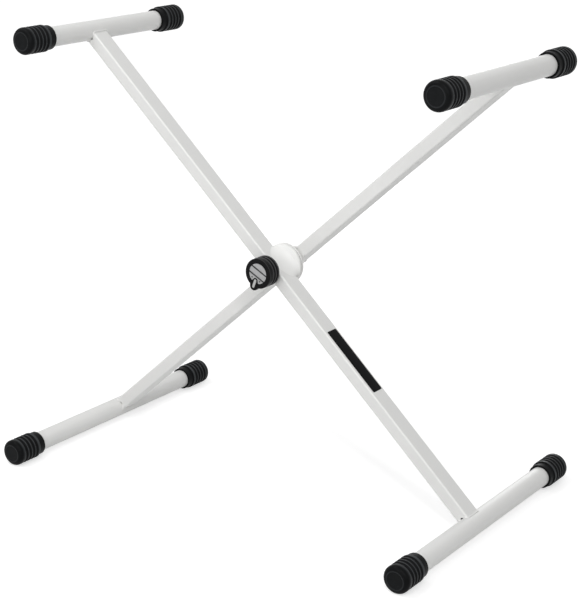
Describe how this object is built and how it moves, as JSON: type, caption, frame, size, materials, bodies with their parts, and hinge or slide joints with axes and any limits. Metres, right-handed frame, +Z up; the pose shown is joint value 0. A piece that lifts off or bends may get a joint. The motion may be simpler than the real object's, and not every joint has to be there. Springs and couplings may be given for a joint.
{
  "type": "keyboard stand",
  "caption": "Folding cross-leg keyboard stand: tube arms on a clamp pivot with a locking knob, and round rest and foot bars with ribbed rubber end caps.",
  "frame": {"origin": "on the floor below the pivot axis, midway between the two arms", "axes": "+X across the cross of the arms, +Y along the bars away from the clamp knob, +Z up"},
  "size_m": [0.785, 0.499, 0.7134],
  "materials": {
    "frame_paint": "white semi-gloss powder coat over steel",
    "cap_rubber": "satin black moulded rubber",
    "zinc_steel": "bright zinc plating",
    "lining_fibre": "dark friction fibre",
    "knob_plastic": "satin black moulded plastic",
    "face_grey": "grey printed plate, bare",
    "pointer_pale": "pale moulded inlay",
    "label_film": "plain black film, bare"
  },
  "bodies": {
    "front_frame": {"front_arm": "frame_paint", "front_top_bar": "frame_paint", "front_bottom_bar": "frame_paint", "front_top_near_cap": "cap_rubber", "front_top_far_cap": "cap_rubber", "front_bottom_near_cap": "cap_rubber", "front_bottom_far_cap": "cap_rubber", "front_pivot_sleeve": "zinc_steel", "front_clutch_cup": "frame_paint", "arm_label": "label_film"},
    "rear_frame": {"rear_arm": "frame_paint", "rear_top_bar": "frame_paint", "rear_bottom_bar": "frame_paint", "rear_top_near_cap": "cap_rubber", "rear_top_far_cap": "cap_rubber", "rear_bottom_near_cap": "cap_rubber", "rear_bottom_far_cap": "cap_rubber", "rear_pivot_sleeve": "zinc_steel", "rear_clutch_cup": "frame_paint", "friction_lining": "lining_fibre", "nut_washer": "frame_paint", "clamp_nut": "frame_paint"},
    "clamp_washer": {"thrust_washer": "zinc_steel"},
    "knob": {"knob_shell": "knob_plastic", "knob_face_plate": "face_grey", "knob_pointer": "pointer_pale", "clamp_bolt": "zinc_steel"}
  },
  "joints": [
    {"name": "arm_fold", "type": "hinge", "parent": "front_frame", "child": "rear_frame", "pos_m": [0, 0, 0.35671], "axis": [0, -1, 0], "range_deg": [-40, 90.6]},
    {"name": "knob_advance", "type": "slide", "parent": "front_frame", "child": "clamp_washer", "axis": [0, -1, 0], "range_m": [0, 0.003]},
    {"name": "knob_turn", "type": "hinge", "parent": "clamp_washer", "child": "knob", "pos_m": [0, 0, 0.35671], "axis": [0, -1, 0], "range_deg": [0, 720]}
  ],
  "couplings": [
    {"joint": "knob_turn", "follows": "knob_advance", "rad_per_m": 4188.8}
  ]
}
